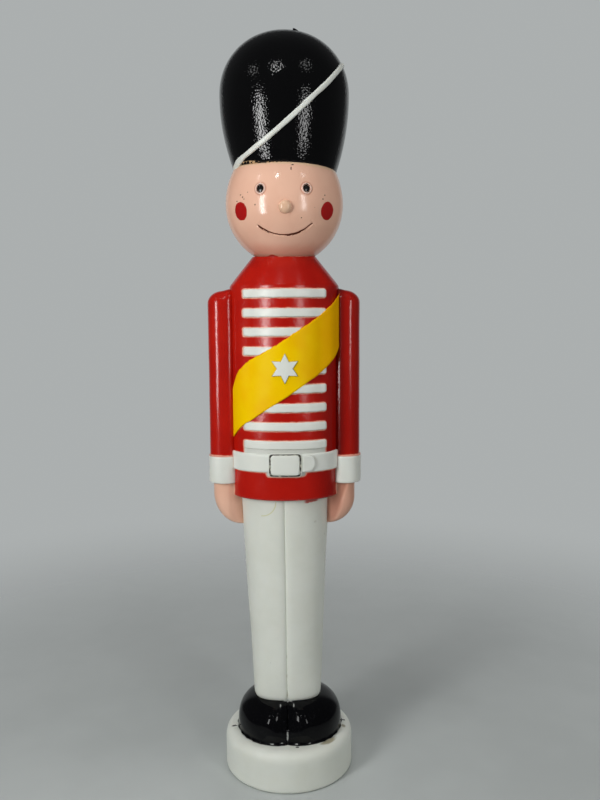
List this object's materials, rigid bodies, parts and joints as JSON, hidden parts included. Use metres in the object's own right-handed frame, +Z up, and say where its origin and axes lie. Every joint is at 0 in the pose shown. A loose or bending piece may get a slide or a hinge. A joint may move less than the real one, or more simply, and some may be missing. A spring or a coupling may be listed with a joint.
{
  "type": "toy soldier figure",
  "caption": "Standing blow-moulded toy soldier in a tall black hat, red coat and yellow sash on a round base, with a push-in lamp under the base.",
  "frame": {"origin": "centre of the underside of the round base, on the surface that the figure stands on", "axes": "+Z up along the figure, -Y the way the soldier looks, +X towards the soldier's left hand"},
  "size_m": [0.1448, 0.1214, 0.69],
  "materials": {
    "ivory_shell": "bare polyethylene, satin, slightly translucent",
    "white_shell": "bare white polyethylene, satin",
    "red_paint": "sprayed red, glossy",
    "yellow_paint": "sprayed yellow, glossy",
    "flesh_paint": "sprayed flesh pink, glossy",
    "black_paint": "sprayed black, high gloss with orange peel",
    "cheek_paint": "stencilled red spot",
    "eye_paint": "pale rim with a black pupil",
    "smile_paint": "dark paint wiped into a groove",
    "holder_plastic": "dark green moulding",
    "socket_plastic": "black moulding",
    "brass": "drawn brass",
    "bulb_glass": "clear glass"
  },
  "bodies": {
    "figure": {"base": "ivory_shell", "left_shoe": "black_paint", "right_shoe": "black_paint", "left_trouser_leg": "ivory_shell", "right_trouser_leg": "ivory_shell", "coat": "red_paint", "belt": "white_shell", "belt_buckle": "white_shell", "belt_tongue": "white_shell", "chest_bar_1": "white_shell", "chest_bar_2": "white_shell", "chest_bar_3": "white_shell", "chest_bar_4": "white_shell", "chest_bar_5": "white_shell", "chest_bar_6": "white_shell", "chest_bar_7": "white_shell", "chest_bar_8": "white_shell", "chest_bar_9": "white_shell", "sash": "yellow_paint", "sash_star": "white_shell", "left_sleeve": "red_paint", "right_sleeve": "red_paint", "left_cuff": "white_shell", "right_cuff": "white_shell", "left_hand": "flesh_paint", "right_hand": "flesh_paint", "head": "flesh_paint", "left_eye": "eye_paint", "right_eye": "eye_paint", "left_cheek": "cheek_paint", "right_cheek": "cheek_paint", "smile_line": "smile_paint", "hat": "black_paint", "hat_strap": "white_shell"},
    "lamp_unit": {"lamp_holder": "holder_plastic", "lamp_socket": "socket_plastic", "socket_contact": "brass", "bulb_cap": "brass", "bulb_glass": "bulb_glass"}
  },
  "joints": [
    {"name": "lamp_pull", "type": "slide", "parent": "figure", "child": "lamp_unit", "axis": [0, 0, -1], "range_m": [0, 0.085]}
  ]
}
